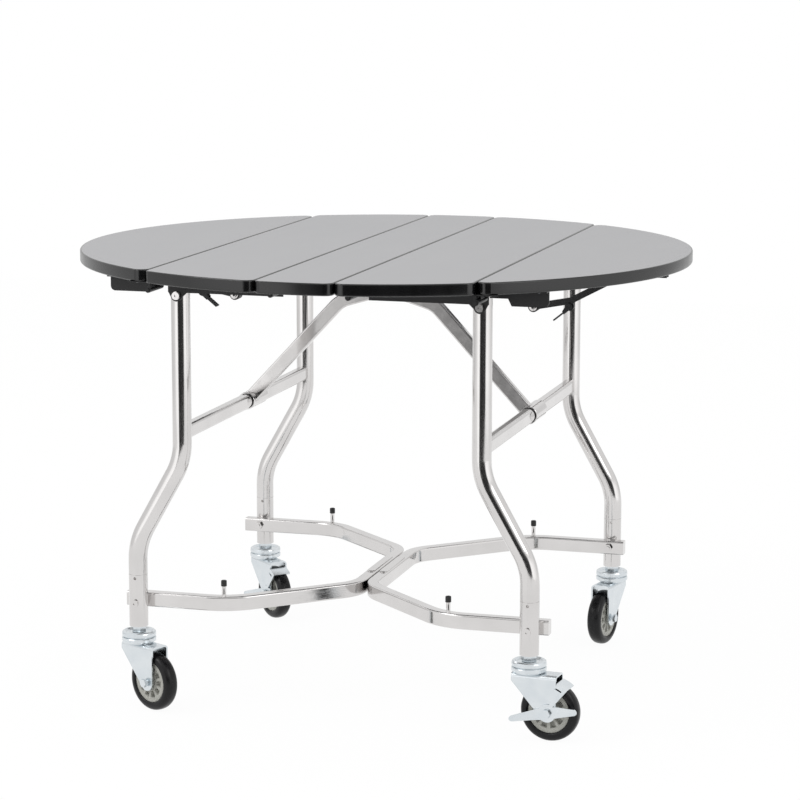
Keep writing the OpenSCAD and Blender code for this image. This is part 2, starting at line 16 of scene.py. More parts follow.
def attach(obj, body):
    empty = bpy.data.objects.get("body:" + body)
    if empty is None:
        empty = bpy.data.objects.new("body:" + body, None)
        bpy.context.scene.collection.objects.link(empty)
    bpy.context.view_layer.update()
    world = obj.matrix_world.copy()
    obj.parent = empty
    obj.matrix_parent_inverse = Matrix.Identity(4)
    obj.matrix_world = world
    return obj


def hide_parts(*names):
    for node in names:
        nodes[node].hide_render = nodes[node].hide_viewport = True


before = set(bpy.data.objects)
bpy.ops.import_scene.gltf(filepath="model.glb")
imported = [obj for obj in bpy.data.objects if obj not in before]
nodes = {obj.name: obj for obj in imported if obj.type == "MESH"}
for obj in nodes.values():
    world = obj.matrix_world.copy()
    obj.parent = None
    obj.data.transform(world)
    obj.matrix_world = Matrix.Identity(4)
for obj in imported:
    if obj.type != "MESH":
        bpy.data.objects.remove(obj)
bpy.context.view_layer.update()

# %% [markdown]
# ## Colours and nodes
# Colours are written as the hex values that a paint chart gives, and one function turns them to the
# linear values that the renderer works with. One more function adds a node, sets it and links it.

# %% Colour and node helpers
def colour(hexa):
    """An sRGB hex colour as linear RGBA: c / 12.92 below 0.04045, else ((c + 0.055) / 1.055) ** 2.4."""
    c = np.array([int(hexa[i:i + 2], 16) for i in (1, 3, 5)]) / 255
    return (*np.where(c <= 0.04045, c / 12.92, ((c + 0.055) / 1.055) ** 2.4).tolist(), 1.0)


def add(tree, kind, settings=None, links=None):
    """A new node of that kind, with its settings, and its inputs linked or set by name or number."""
    n = tree.nodes.new(kind)
    for key, value in (settings or {}).items():
        setattr(n, key, value)
    for key, value in (links or {}).items():
        if isinstance(value, bpy.types.NodeSocket):
            tree.links.new(value, n.inputs[key])
        else:
            n.inputs[key].default_value = value
    return n


def material(name, values):
    """A material with a Principled shader and its plain values. Returns it, its tree and the shader."""
    m = bpy.data.materials.new(name)
    m.use_nodes = True
    shader = m.node_tree.nodes["Principled BSDF"]
    for key, value in values.items():
        shader.inputs[key].default_value = value
    return m, m.node_tree, shader


def grain(tree, stretch, scale, detail=3.0):
    """Noise in the piece's own place, in cycles a metre along X, Y and Z: 1000 / (size in mm)."""
    place = add(tree, "ShaderNodeTexCoord")
    scaled = add(tree, "ShaderNodeMapping", links={"Vector": place.outputs["Object"], "Scale": stretch})
    return add(tree, "ShaderNodeTexNoise", links={
        "Vector": scaled.outputs[0], "Scale": scale, "Detail": detail})


def spread(tree, source, low, high):
    """Brings a 0 to 1 noise, which mostly stays between 0.3 and 0.7, to low and high."""
    return add(tree, "ShaderNodeMapRange", links={
        "Value": source, "From Min": 0.3, "From Max": 0.7, "To Min": low, "To Max": high}).outputs[0]


def two_tones(tree, source, first, second):
    """Mixes two hex colours by a 0 to 1 noise."""
    mix = add(tree, "ShaderNodeMix", {"data_type": "RGBA"}, {0: spread(tree, source, 0.0, 1.0)})
    mix.inputs[6].default_value = colour(first)
    mix.inputs[7].default_value = colour(second)
    return mix.outputs[2]


def bump(tree, shader, source, depth_mm, strength=1.0):
    """Raises the surface by up to depth_mm where the noise is 1."""
    b = add(tree, "ShaderNodeBump", links={
        "Height": source, "Distance": depth_mm / 1000, "Strength": strength})
    tree.links.new(b.outputs[0], shader.inputs["Normal"])


print("white is", colour("#FFFFFF"), "and mid grey", [round(v, 3) for v in colour("#808080")])

# %% [markdown]
# ## The camera
# The camera stands where the photographer stood: about 4.7 m from the table and 1.3 m up, a little to
# the right, turned 16 degrees to the left and looking down by just under 10 degrees. A long lens of
# 123 mm on a 36 mm sensor gives the flat perspective of a product photograph.

# %% Camera
cam = bpy.data.objects.new("camera", bpy.data.cameras.new("camera"))
bpy.context.collection.objects.link(cam)
cam.data.sensor_width = 36
cam.data.lens = 123.16
turn = Matrix.Rotation(math.radians(16.03), 4, "Z")
tilt = Matrix.Rotation(math.radians(90 - 9.75), 4, "X")
roll = Matrix.Rotation(math.radians(0.11), 4, "Z")
cam.matrix_world = Matrix.Translation((1.3315, -4.5481, 1.3037)) @ turn @ tilt @ roll
bpy.context.scene.camera = cam
print("camera at", [round(v, 3) for v in cam.location], "lens", cam.data.lens)

# %% [markdown]
# ## The studio
# Polished tube shows the room more than itself. A studio for such a product is white nearly all
# round, with a dark gap where the camera stands, and that gap is the dark streak down each post.
# The world is drawn as that studio: white, with one dark stretch towards the camera, which fades out
# between 8 and 19 degrees above the horizon. What the camera sees directly stays plain white. The floor
# is white paper that glows to the camera and in reflections, so that it runs into the background, and
# it is clear from below. Two soft lamps give the top and the casters their shape.

# %% World, lamps and floor
world = bpy.data.worlds.new("studio")
world.use_nodes = True
bpy.context.scene.world = world
studio = world.node_tree
studio.nodes.clear()
dark_fades, dark_gone, upper_white = 0.14, 0.32, 0.95
place = add(studio, "ShaderNodeTexCoord")
axes = add(studio, "ShaderNodeSeparateXYZ", links={0: place.outputs["Generated"]})
angle = add(studio, "ShaderNodeMath", {"operation": "ARCTAN2"}, {0: axes.outputs[0], 1: axes.outputs[1]})
round_share = add(studio, "ShaderNodeMath", {"operation": "MULTIPLY_ADD"},
                  {0: angle.outputs[0], 1: 0.5 / math.pi, 2: 0.5})
ramp = add(studio, "ShaderNodeValToRGB", links={0: round_share.outputs[0]})
walls = [(0.0, 0.03), (0.029, 0.05), (0.036, 0.27), (0.046, 0.33), (0.054, 1.45), (0.13, 1.35),
         (0.18, 0.9), (0.30, 0.82), (0.62, 0.82), (0.78, 1.35), (0.84, 1.35), (0.865, 0.05), (1.0, 0.03)]
while len(ramp.color_ramp.elements) < len(walls):
    ramp.color_ramp.elements.new(0.5)
for element, (at, value) in zip(ramp.color_ramp.elements, walls):
    element.position = at
    element.color = (value, value, value, 1)
height = add(studio, "ShaderNodeMapRange", {"interpolation_type": "SMOOTHSTEP"}, {
    "Value": axes.outputs[2], "From Min": dark_fades, "From Max": dark_gone, "To Min": 0.0, "To Max": 1.0})
room = add(studio, "ShaderNodeMix", {"data_type": "RGBA"}, {0: height.outputs[0], 6: ramp.outputs[0]})
room.inputs[7].default_value = (upper_white, upper_white, upper_white, 1)
rays = add(studio, "ShaderNodeLightPath")
seen = add(studio, "ShaderNodeMix", {"data_type": "RGBA"},
           {0: rays.outputs["Is Camera Ray"], 6: room.outputs[2]})
seen.inputs[7].default_value = (1, 1, 1, 1)
back = add(studio, "ShaderNodeBackground", links={0: seen.outputs[2], 1: 1.0})
add(studio, "ShaderNodeOutputWorld", links={0: back.outputs[0]})


def lamp(name, at, towards, size, watts):
    """A square soft lamp of that size in metres, turned towards a point."""
    light = bpy.data.lights.new(name, "AREA")
    light.size = size
    light.energy = watts
    piece = bpy.data.objects.new(name, light)
    bpy.context.collection.objects.link(piece)
    piece.location = at
    piece.rotation_euler = (Vector(towards) - Vector(at)).to_track_quat("-Z", "Y").to_euler()
    return piece


lamp("key_lamp", (-2.6, -2.2, 3.2), (0, 0, 0.4), 1.8, 42)
lamp("fill_lamp", (2.9, -1.6, 2.2), (0, 0, 0.4), 1.6, 16)

floor_mesh = bpy.data.meshes.new("floor")
floor_mesh.from_pydata([(-3.2, -2.2, 0), (2.9, -2.2, 0), (2.9, 5, 0), (-3.2, 5, 0)], [], [(0, 1, 2, 3)])
floor = bpy.data.objects.new("floor", floor_mesh)
bpy.context.collection.objects.link(floor)
paper = bpy.data.materials.new("white_backdrop_paper")
paper.use_nodes = True
sheet = paper.node_tree
sheet.nodes.clear()
glow_share = 0.95
matt = add(sheet, "ShaderNodeBsdfDiffuse", links={0: colour("#FBFBFA")})
glow = add(sheet, "ShaderNodeEmission", links={0: (1, 1, 1, 1), 1: 1.0})
rays = add(sheet, "ShaderNodeLightPath")
both = add(sheet, "ShaderNodeMath", {"operation": "MAXIMUM"},
           {0: rays.outputs["Is Camera Ray"], 1: rays.outputs["Is Glossy Ray"]})
share = add(sheet, "ShaderNodeMath", {"operation": "MULTIPLY"}, {0: both.outputs[0], 1: glow_share})
mixed = add(sheet, "ShaderNodeMixShader", links={
    0: share.outputs[0], 1: matt.outputs[0], 2: glow.outputs[0]})
face = add(sheet, "ShaderNodeNewGeometry")
clear = add(sheet, "ShaderNodeBsdfTransparent")
sided = add(sheet, "ShaderNodeMixShader", links={
    0: face.outputs["Backfacing"], 1: mixed.outputs[0], 2: clear.outputs[0]})
add(sheet, "ShaderNodeOutputMaterial", links={0: sided.outputs[0]})
floor_mesh.materials.append(paper)
print("studio made, floor", len(floor_mesh.vertices), "corners")

# %% [markdown]
# ## Finishes of the table's top
# The planks are plywood under high-pressure laminate (HPL), a hard sheet of paper and melamine resin
# pressed with a fine satin texture. Melamine has an IOR of about 1.55 and reflects softly. The real
# grain is about 0.2 mm and too fine to show, so it is drawn at 1.5 mm. The edge is a black ABS band,
# moulded smooth, which is glossier than the top.

# %% Laminate and edge band
def make_laminate():
    """Grey laminate: two close tones and a roughness that vary broadly, with a fine bump over them."""
    m, tree, shader = material("satin_hpl_laminate", {"Roughness": 0.42, "IOR": 1.55})
    fine = grain(tree, (1, 1, 1), 650)
    broad = grain(tree, (1, 0.35, 1), 9, 2.0)
    tree.links.new(two_tones(tree, broad.outputs[0], "#9A9A9C", "#9F9FA1"), shader.inputs["Base Color"])
    tree.links.new(spread(tree, broad.outputs[0], 0.38, 0.46), shader.inputs["Roughness"])
    bump(tree, shader, fine.outputs[0], 0.05, 0.5)
    return m


def make_edge():
    """The black band: two close tones, low roughness and a slight waviness."""
    m, tree, shader = material("moulded_abs_edge", {"Roughness": 0.2, "IOR": 1.54})
    broad = grain(tree, (1, 1, 0.3), 40)
    tree.links.new(two_tones(tree, broad.outputs[0], "#0C0C0D", "#111112"), shader.inputs["Base Color"])
    tree.links.new(spread(tree, broad.outputs[0], 0.17, 0.23), shader.inputs["Roughness"])
    bump(tree, shader, broad.outputs[0], 0.06, 0.4)
    return m


laminate = make_laminate()
edge_band = make_edge()
print("top finishes:", laminate.name, edge_band.name)

# %% [markdown]
# ## Metals
# The legs, bars and braces are stainless steel tube and strip, polished along their length: metallic,
# nearly white, with a roughness near 0.1. The polish leaves fine lines, drawn about 1 mm apart as a
# noise that is stretched along the piece. The casters are steel with a bright zinc plating, which is
# bluish and a little rougher. The rails, hinges and stays are steel with black powder coating, whose
# fine orange-peel has bumps about 1.5 mm wide.

# %% Steel, zinc and powder coating
def make_steel(name, along):
    """Polished stainless steel. along is the stretch of the polishing lines in cycles a metre."""
    m, tree, shader = material(name, {"Metallic": 1.0, "Roughness": 0.1})
    lines = grain(tree, along, 1.0, 4.0)
    cloud = grain(tree, (1, 1, 1), 14, 2.0)
    tree.links.new(two_tones(tree, cloud.outputs[0], "#D0CECD", "#D8D6D5"), shader.inputs["Base Color"])
    tree.links.new(spread(tree, lines.outputs[0], 0.07, 0.16), shader.inputs["Roughness"])
    bump(tree, shader, lines.outputs[0], 0.012, 0.35)
    return m


def make_zinc():
    """Bright zinc: a bluish metal with cloudy tones and roughness."""
    m, tree, shader = material("bright_zinc_plating", {"Metallic": 1.0, "Roughness": 0.25})
    cloud = grain(tree, (1, 1, 1), 45, 1.0)
    tree.links.new(two_tones(tree, cloud.outputs[0], "#D6DCE0", "#DEE3E6"), shader.inputs["Base Color"])
    tree.links.new(spread(tree, cloud.outputs[0], 0.2, 0.27), shader.inputs["Roughness"])
    bump(tree, shader, cloud.outputs[0], 0.03, 0.15)
    return m


def make_powder():
    """Black powder coating: cloudy tones and roughness, with an orange-peel bump of its own."""
    m, tree, shader = material("black_powder_coating", {"Roughness": 0.42, "IOR": 1.5})
    peel = grain(tree, (1, 1, 1), 650, 1.0)
    cloud = grain(tree, (1, 1, 1), 25, 2.0)
    tree.links.new(two_tones(tree, cloud.outputs[0], "#111112", "#18181A"), shader.inputs["Base Color"])
    tree.links.new(spread(tree, cloud.outputs[0], 0.36, 0.5), shader.inputs["Roughness"])
    bump(tree, shader, peel.outputs[0], 0.06, 0.5)
    return m


steel_posts = make_steel("polished_stainless_posts", (900, 900, 25))
steel_bars = make_steel("polished_stainless_bars", (900, 30, 900))
steel_base = make_steel("polished_stainless_base", (60, 60, 900))
steel_brace = make_steel("polished_stainless_braces", (60, 900, 60))
chrome = make_steel("chromed_bolts", (300, 300, 300))
zinc = make_zinc()
powder = make_powder()
print("metals:", [m.name for m in (steel_posts, steel_bars, steel_base, steel_brace, chrome, zinc, powder)])

# %% [markdown]
# ## Rubber and plastics
# Tyres are black rubber with a slight shine: IOR 1.52, roughness 0.25 to 0.35 and half the usual
# specular level. The hubs are moulded grey polypropylene, the bushes black nylon and the peg caps soft
# black rubber.

# %% Rubber, hub plastic and nylon
def make_plain(name, tones, rough, mm, ior=1.5):
    """A moulded plastic or rubber: two close tones, a roughness that varies, and bumps of that width."""
    m, tree, shader = material(name, {"Roughness": rough, "IOR": ior})
    cloud = grain(tree, (1, 1, 1), 1000 / mm, 2.0)
    tree.links.new(two_tones(tree, cloud.outputs[0], *tones), shader.inputs["Base Color"])
    tree.links.new(spread(tree, cloud.outputs[0], rough - 0.05, rough + 0.05), shader.inputs["Roughness"])
    bump(tree, shader, cloud.outputs[0], 0.04, 0.3)
    return m


tyre_rubber = make_plain("black_tyre_rubber", ("#0D0D0F", "#121214"), 0.3, 6, 1.52)
tyre_rubber.node_tree.nodes["Principled BSDF"].inputs["Specular IOR Level"].default_value = 0.25
hub_plastic = make_plain("grey_polypropylene", ("#A0A099", "#A8A8A2"), 0.45, 4)
nylon = make_plain("black_nylon", ("#141414", "#1B1B1B"), 0.4, 3, 1.53)
cap_rubber = make_plain("soft_black_rubber", ("#141414", "#1A1A1A"), 0.6, 2, 1.52)
print("plastics:", [m.name for m in (tyre_rubber, hub_plastic, nylon, cap_rubber)])

# %% [markdown]
# ## Dressing the CAD nodes
# Each CAD node keeps its shape and takes the finish that its real piece has. The first word of a
# node's name says what it is.

# %% Finishes of the CAD nodes
finishes = {
    "plank": edge_band, "hinges": powder, "rail": powder, "leaf": powder, "post": steel_posts,
    "crossbar": steel_bars, "brace_bush": nylon, "leg_bolts": chrome, "brace": steel_base,
    "base": steel_base, "peg_caps": cap_rubber, "stay_ear": powder, "stay_arm": powder,
    "stay_lever": powder, "stay_track": powder, "caster_stems": zinc, "fork": zinc,
    "tyre": tyre_rubber, "hub": hub_plastic, "brake": zinc,
}
for name, piece in nodes.items():
    best = max((k for k in finishes if name.startswith(k)), key=len)
    for slot in piece.material_slots:
        slot.material = finishes[best]
ear_slots = [slot.name for slot in nodes["stay_ear_left"].material_slots]
print("dressed", len(nodes), "nodes; slots of an ear:", ear_slots)

# %% [markdown]
# ## Surfaces from arrays
# A piece is a grid of points worked out with numpy: one direction runs along the shape and the other
# round it. One function turns the grid into a mesh, and closes it where the shape is closed.

# %% Grid to mesh
def surface(name, grids, wrap_u=False, wrap_v=False, caps=False, sharp=40):
    """One mesh from grids[k, u, v] = (x, y, z), with k copies of a shape, or from a single grid[u, v].
    wrap_u and wrap_v join the last row to the first. caps closes the two ends of u with one face each.
    Edges sharper than the angle stay crisp."""
    grids = np.asarray(grids)
    grids = grids[None] if grids.ndim == 3 else grids
    copies, nu, nv = grids.shape[:3]
    u = np.arange(nu if wrap_u else nu - 1)[:, None]
    v = np.arange(nv if wrap_v else nv - 1)[None, :]
    u1, v1 = (u + 1) % nu, (v + 1) % nv
    quads = np.stack([u * nv + v, u1 * nv + v, u1 * nv + v1, u * nv + v1], -1).reshape(-1, 4)
    faces = []
    for first in range(0, copies * nu * nv, nu * nv):
        faces += (quads + first).tolist()
        if caps:
            last = first + (nu - 1) * nv
            faces += [list(range(first, first + nv)), list(range(last, last + nv))[::-1]]
    mesh = bpy.data.meshes.new(name)
    mesh.from_pydata(grids.reshape(-1, 3).tolist(), [], faces)
    mesh.shade_smooth()
    mesh.set_sharp_from_angle(angle=math.radians(sharp))
    piece = bpy.data.objects.new(name, mesh)
    bpy.context.collection.objects.link(piece)
    return piece


def place_piece(piece, finish, body, slot, *replaced):
    """Gives the piece its finish and body, and hides the nodes it stands for. slot is not used."""
    piece.data.materials.append(finish)
    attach(piece, body)
    if replaced:
        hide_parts(*replaced)
    return piece


print("surface helper ready")

# %% [markdown]
# ## The planks
# Each plank is a slice of the round top: the rim is an arc of 530 mm radius, the seams are straight
# and the corners where they meet have a radius of 15 mm. The real one is a board with a sheet of
# laminate, and a black band round its edge that rolls over by about 2 mm. The outline is worked out once
# and then carried inwards along its own normals to make the band's round shoulders.

# %% Outline of a plank
top_r, top_z, board, corner = 0.530, 0.762, 0.020, 0.015
seams = [0.065, 0.2735]
half_gap = 0.0008


def arc(cx, cy, r, a0, a1, n):
    """n points (cx + r cos a, cy + r sin a), with a from a0 to a1."""
    a = np.linspace(a0, a1, n)
    return np.stack([cx + r * np.cos(a), cy + r * np.sin(a)], 1), np.stack([np.cos(a), np.sin(a)], 1)


def plank_outline(x0, x1):
    """Points and outward normals round a plank, counter-clockwise. A seam corner is a circle that touches
    the seam and the rim: its centre is corner away from the seam, and top_r - corner away from the middle.
    None for x0 or x1 means that the rim closes that side."""
    full = 2 * math.pi
    sides = []
    if x1 is not None:
        c1x = x1 - corner
        c1y = math.sqrt((top_r - corner) ** 2 - c1x ** 2)
        t1 = math.atan2(c1y, c1x)
    if x0 is not None:
        c0x = x0 + corner
        c0y = math.sqrt((top_r - corner) ** 2 - c0x ** 2)
        t0 = math.atan2(c0y, c0x)
    if x0 is not None and x1 is not None:
        sides += [arc(c1x, c1y, corner, 0, t1, 9), arc(0, 0, top_r, t1, t0, 40)]
        sides += [arc(c0x, c0y, corner, t0, math.pi, 9), arc(c0x, -c0y, corner, math.pi, full - t0, 9)]
        sides += [arc(0, 0, top_r, full - t0, full - t1, 40)]
        sides += [arc(c1x, -c1y, corner, full - t1, full, 9)]
    elif x0 is None:
        sides += [arc(c1x, c1y, corner, 0, t1, 9), arc(0, 0, top_r, t1, full - t1, 90)]
        sides += [arc(c1x, -c1y, corner, full - t1, full, 9)]
    else:
        sides += [arc(0, 0, top_r, -t0, t0, 90), arc(c0x, c0y, corner, t0, math.pi, 9)]
        sides += [arc(c0x, -c0y, corner, math.pi, full - t0, 9)]
    return np.concatenate([part[0] for part in sides]), np.concatenate([part[1] for part in sides])


ring, outward = plank_outline(-seams[0] + half_gap, seams[0] - half_gap)
print("middle plank outline:", len(ring), "points, reach", np.abs(ring).max(0))

# %% Boards and edge bands
def swept(outline, normals, profile):
    """points[u, v]: the profile's point v = (inset, z) carried round the outline's point u."""
    inset, z = profile[:, 0], profile[:, 1]
    xy = outline[:, None, :] - normals[:, None, :] * inset[None, :, None]
    return np.concatenate([xy, np.broadcast_to(z[None, :, None], (*xy.shape[:2], 1))], 2)


round_over, tuck, tuck_drop = 0.0022, 0.006, 0.001
a = np.linspace(0, math.pi / 2, 6)
shoulder = np.stack([round_over * (1 - np.sin(a)), top_z - round_over + round_over * np.cos(a)], 1)
band = np.concatenate([[[tuck, top_z - tuck_drop]], [[round_over + 0.0002, top_z]], shoulder])
under = np.stack([band[:, 0], 2 * top_z - board - band[:, 1]], 1)[::-1]
band = np.concatenate([band, under])
spans = [(None, -seams[1] - half_gap), (-seams[1] + half_gap, -seams[0] - half_gap),
         (-seams[0] + half_gap, seams[0] - half_gap), (seams[0] + half_gap, seams[1] - half_gap),
         (seams[1] + half_gap, None)]
slab_low, slab_high = 0.0195, 0.00005
plank_bodies = ["leaf_left", "inner_left", "centre", "inner_right", "leaf_right"]
for i, ((x0, x1), body) in enumerate(zip(spans, plank_bodies), 1):
    ring, outward = plank_outline(x0, x1)
    edge = surface(f"edge_band_{i}", swept(ring, outward, band)[:, ::-1], wrap_u=True, wrap_v=True, sharp=50)
    place_piece(edge, edge_band, body, "grey_laminate", f"plank_{i}")
    slab = np.array([[round_over, top_z - slab_low], [round_over, top_z - slab_high]])
    board_grid = np.transpose(swept(ring, outward, slab), (1, 0, 2))
    top = surface(f"laminate_{i}", board_grid[:, ::-1], wrap_v=True, caps=True)
    place_piece(top, laminate, body, "grey_laminate", f"plank_{i}")
    print(edge.name, len(edge.data.polygons), "faces;", top.name, len(top.data.polygons), "faces")

# %% [markdown]
# ## Tyres
# A tyre is a profile turned round the axle. The profile is a superellipse, a shape between an ellipse
# and a box: |y / a| ** n + |z / b| ** n = 1. With n near 2.6 it gives the full, slightly crowned tread
# of a solid rubber tyre.

# %% Wheels' places and tyres
trail, foot_x, foot_y, wheel_r = 0.038, 0.340, 0.33198, 0.050
yaws = {"front_left": -28, "front_right": -6, "back_left": -43, "back_right": -102}


def wheel_frame(key):
    """Centre of the wheel and its three directions: along the trail, up, and along the axle."""
    end, side = key.split("_")
    yaw = math.radians(yaws[key])
    ahead = np.array([math.cos(yaw), math.sin(yaw), 0])
    axle = np.array([-math.sin(yaw), math.cos(yaw), 0])
    foot = np.array([foot_x if side == "right" else -foot_x, foot_y if end == "back" else -foot_y, wheel_r])
    return foot + trail * ahead, ahead, np.array([0, 0, 1.0]), axle


def turned(profile, centre, first, second, axis, n=96):
    """points[u, v]: the profile's point v = (radius r, offset y) turned to angle a = 2 pi u / n. It stands
    at centre + r (cos a first + sin a second) + y axis. first x second is -axis, so the faces look out."""
    a = np.linspace(0, 2 * math.pi, n, endpoint=False)[:, None, None]
    r, y = profile[None, :, 0, None], profile[None, :, 1, None]
    return np.asarray(centre) + r * (np.cos(a) * first + np.sin(a) * second) + y * np.asarray(axis)


t = np.linspace(0, math.pi, 25)
n_tread = 2.6
half_w, crown = 0.013, 0.0125
seat_r, seat_half = 0.0352, 0.0108
tread = np.stack([wheel_r - crown + crown * np.sin(t) ** (2 / n_tread),
                  half_w * np.sign(np.cos(t)) * np.abs(np.cos(t)) ** (2 / n_tread)], 1)
tread = np.concatenate([[[seat_r, seat_half]], tread, [[seat_r, -seat_half]]])
for key in yaws:
    piece = surface(f"tread_{key}", turned(tread, *wheel_frame(key)), wrap_u=True, wrap_v=True, sharp=50)
    place_piece(piece, tyre_rubber, f"wheel_{key}", "black_tyre", f"tyre_{key}")
print("tyres:", len(yaws), "of", len(piece.data.polygons), "faces")

# %% [markdown]
# ## Hubs
# A moulded hub has a flat ring next to the tyre, a boss round the axle and ten pockets between its
# spokes. Its face is a height over the wheel's disc: height = face - depth * m(r) * m(angle). Each m is a
# smoothstep, 3 x ** 2 - 2 x ** 3, which runs from 0 to 1 over the width of a pocket's drafted wall.

# %% Hubs
def smooth(x, low, high):
    """0 below low, 1 above high and 3 t ** 2 - 2 t ** 3 between them."""
    t = np.clip((x - low) / (high - low), 0, 1)
    return 3 * t ** 2 - 2 * t ** 3


stations = [(0.0041, 0.015, 12), (0.0153, 0.0278, 32), (0.0284, 0.0351, 10)]
boss_wall, pocket_inner, pocket_outer = (0.0088, 0.0098), (0.0158, 0.0172), (0.0262, 0.0276)
lip_inner, lip_outer = (0.0276, 0.0288), (0.0332, 0.0346)
face_h, boss_h, pocket_depth, lip_h = 0.0102, 0.0044, 0.0062, 0.0005
pockets, spoke_edge, pocket_edge = 10, -0.42, -0.05


def hub_grid(key):
    """points[u, v]: two mirrored faces with heights h(r, angle), joined at the bore and under the tyre."""
    r = np.concatenate([np.linspace(*station) for station in stations])
    a = np.linspace(0, 2 * math.pi, 240, endpoint=False)[:, None]
    radial = smooth(r, *pocket_inner) * (1 - smooth(r, *pocket_outer))
    pocket = radial[None] * smooth(np.cos(pockets * a), spoke_edge, pocket_edge)
    h = face_h + boss_h * (1 - smooth(r, *boss_wall))[None] - pocket_depth * pocket
    h = h + lip_h * (smooth(r, *lip_inner) - smooth(r, *lip_outer))[None]
    centre, ahead, up, axle = wheel_frame(key)
    rim = r[None, :, None] * (np.cos(a)[..., None] * ahead + np.sin(a)[..., None] * up)
    outer, inner = centre + rim + h[..., None] * axle, centre + rim - h[..., None] * axle
    return np.concatenate([outer, inner[:, ::-1]], 1)


for key in yaws:
    piece = surface(f"hub_face_{key}", hub_grid(key), wrap_u=True, wrap_v=True, sharp=60)
    place_piece(piece, hub_plastic, f"wheel_{key}", "grey_plastic", f"hub_{key}")
print("hubs:", len(yaws), "of", len(piece.data.polygons), "faces")

# %% [markdown]
# ## Braces
# A brace is a flat bar, 24 mm deep and 14 mm thick, with its broad faces to the front and back. It rises
# from a sleeve on the crossbar to the middle of the table, where it bends flatter. The foot is coped to
# the sleeve: at the offset n from the bar's middle it starts sqrt(r ** 2 - n ** 2) from the sleeve's
# axis. The bar's front face is at y = 0. A weld bead with ripples 3 mm apart follows the coped edge.

# %% Shapes of a brace
def bent(a, b, c, r, n=12):
    """Points from a to c, with the corner b rounded by an arc of radius r, and the unit directions there."""
    a, b, c = (np.array(p) for p in (a, b, c))
    u, v = (a - b) / np.linalg.norm(a - b), (c - b) / np.linalg.norm(c - b)
    half = math.acos(u @ v) / 2
    middle = b + (u + v) / np.linalg.norm(u + v) * r / math.sin(half)
    side = -math.copysign(1, u[0] * v[1] - u[1] * v[0])
    t = side * np.linspace(0, math.pi - 2 * half, n)
    out = (b + u * r / math.tan(half) - middle) / r
    spoke = np.stack([out[0] * np.cos(t) - out[1] * np.sin(t), out[0] * np.sin(t) + out[1] * np.cos(t)], 1)
    along = side * np.stack([-spoke[:, 1], spoke[:, 0]], 1)
    return np.concatenate([[a], middle + r * spoke, [c]]), np.concatenate([[-u], along, [v]])


def rounded(width, height, r, n=6, lead=0.0004):
    """A rectangle with corners of radius r, counter-clockwise, and its outward normals. Each arc has a
    short lead of straight edge before and after it, which keeps the flats flat in shading."""
    w, h = width / 2 - r, height / 2 - r
    points, normals = [], []
    for x, y, q in ((w, h, 0), (-w, h, 0.5), (-w, -h, 1), (w, -h, 1.5)):
        p, out = arc(x, y, r, q * math.pi, (q + 0.5) * math.pi, n)
        along = np.stack([-out[:, 1], out[:, 0]], 1)
        points += [p[:1] - lead * along[:1], p, p[-1:] + lead * along[-1:]]
        normals += [out[:1], out, out[-1:]]
    return np.concatenate(points), np.concatenate(normals)


bar_x, bar_z, sleeve_r, journal_r = 0.258, 0.476, 0.0155, 0.011
deep, thick, sleeve_front, sleeve_back = 0.024, 0.014, -0.008, 0.068
brace_y = thick / 2
brace_path, brace_along = bent((bar_x, bar_z), (0.086, 0.661), (0.002, 0.686), 0.05)
bar_corner, sink, bead_in = 0.0025, 0.0006, 0.0006
section, _ = rounded(deep, thick, bar_corner)
print("brace:", len(brace_path), "stations of", len(section), "points")


def brace_grid(sign):
    """points[u, v]: the section's point v = (offset n, y) carried along the path. sign is -1 on the left."""
    across = np.stack([-brace_along[:, 1], brace_along[:, 0]], 1)
    n = section[None, :, 0, None]
    xz = brace_path[:, None] + n * across[:, None]
    cope = np.sqrt((sleeve_r - sink) ** 2 - section[:, 0] ** 2)
    xz[0] += cope[:, None] * brace_along[0]
    xz[-1] += ((brace_path[-1, 0] - xz[-1, :, 0]) / brace_along[-1, 0])[:, None] * brace_along[-1]
    y = np.broadcast_to(section[None, :, 1] + brace_y, xz.shape[:2])
    return np.stack([sign * xz[..., 0], y, xz[..., 1]], -1)


bead_r, ripple, ripple_step = 0.0014, 0.0002, 0.003


def bead_grid(sign):
    """points[u, v]: a tube of radius 1.4 mm + 0.2 mm sin(2 pi step / 3 mm), which follows the foot."""
    k = np.linspace(0, 2 * math.pi, 10, endpoint=False)[None, :, None]
    along, across = brace_along[0], np.array([-brace_along[0, 1], brace_along[0, 0]])
    dense, out = rounded(deep - bead_in, thick - bead_in, bar_corner, 24)
    reach = np.sqrt(np.maximum(sleeve_r ** 2 - dense[:, 0] ** 2, 0))
    xz = np.array([bar_x, bar_z]) + dense[:, :1] * across + reach[:, None] * along
    centre = np.stack([xz[:, 0], dense[:, 1] + brace_y, xz[:, 1]], 1)[:, None]
    up = np.array([along[0], 0, along[1]])
    side = (out[:, :1] * across)[:, [0, 0, 1]] * [1, 0, 1] + out[:, 1:] * [0, 1, 0]
    step = np.linalg.norm(np.diff(dense, axis=0, append=dense[:1]), axis=1).cumsum()
    r = (bead_r + ripple * np.sin(2 * math.pi * step / ripple_step))[:, None, None]
    return (centre + r * (np.cos(k) * up + np.sin(k) * side[:, None])) * [sign, 1, 1]


